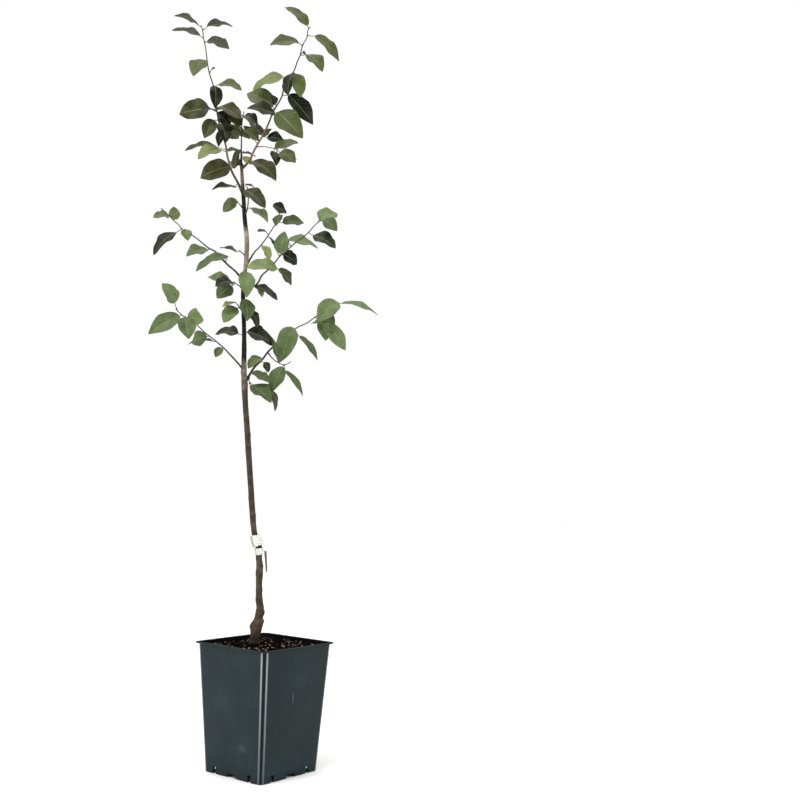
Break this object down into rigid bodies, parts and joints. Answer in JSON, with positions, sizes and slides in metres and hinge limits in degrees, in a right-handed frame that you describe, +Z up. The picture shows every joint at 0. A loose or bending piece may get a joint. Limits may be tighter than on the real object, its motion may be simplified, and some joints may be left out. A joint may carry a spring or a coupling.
{
  "type": "potted grafted persimmon sapling",
  "caption": "Young grafted persimmon tree with a slim forked stem and waxy oval leaves, tape round its graft, growing in a tall tapered square nursery pot.",
  "frame": {"origin": "middle of the pot's underside, on the surface that it stands on", "axes": "+Z up along the tree, +X and +Y square to the pot's sides; the picture looks along -X +Y, at one corner of the pot"},
  "size_m": [0.4128, 0.4921, 1.5447],
  "materials": {
    "pot_plastic": "dark slate polypropylene with a satin sheen",
    "potting_soil": "dark moist bark and peat with pale grains",
    "bark": "smooth young bark with lenticels",
    "graft_film": "wound white polyethylene film",
    "tie_plastic": "dark grey plastic strip",
    "foliage": "waxy green leaves on brown twigs"
  },
  "bodies": {
    "root": {"pot": "pot_plastic", "soil": "potting_soil", "trunk": "bark", "graft_tape": "graft_film", "lower_wrap": "graft_film", "graft_tie": "tie_plastic", "left_leader": "foliage", "right_leader": "foliage", "central_leader": "foliage", "upper_right_spur": "foliage", "upper_left_spur": "foliage", "inner_right_branch": "foliage", "middle_right_branch": "foliage", "middle_left_branch": "foliage", "middle_left_spur": "foliage", "left_twig": "foliage", "front_spur": "foliage", "lower_front_spur": "foliage", "lower_left_spur": "foliage", "lower_back_spur": "foliage", "lower_left_branch": "foliage", "lower_right_branch": "foliage"}
  },
  "joints": []
}
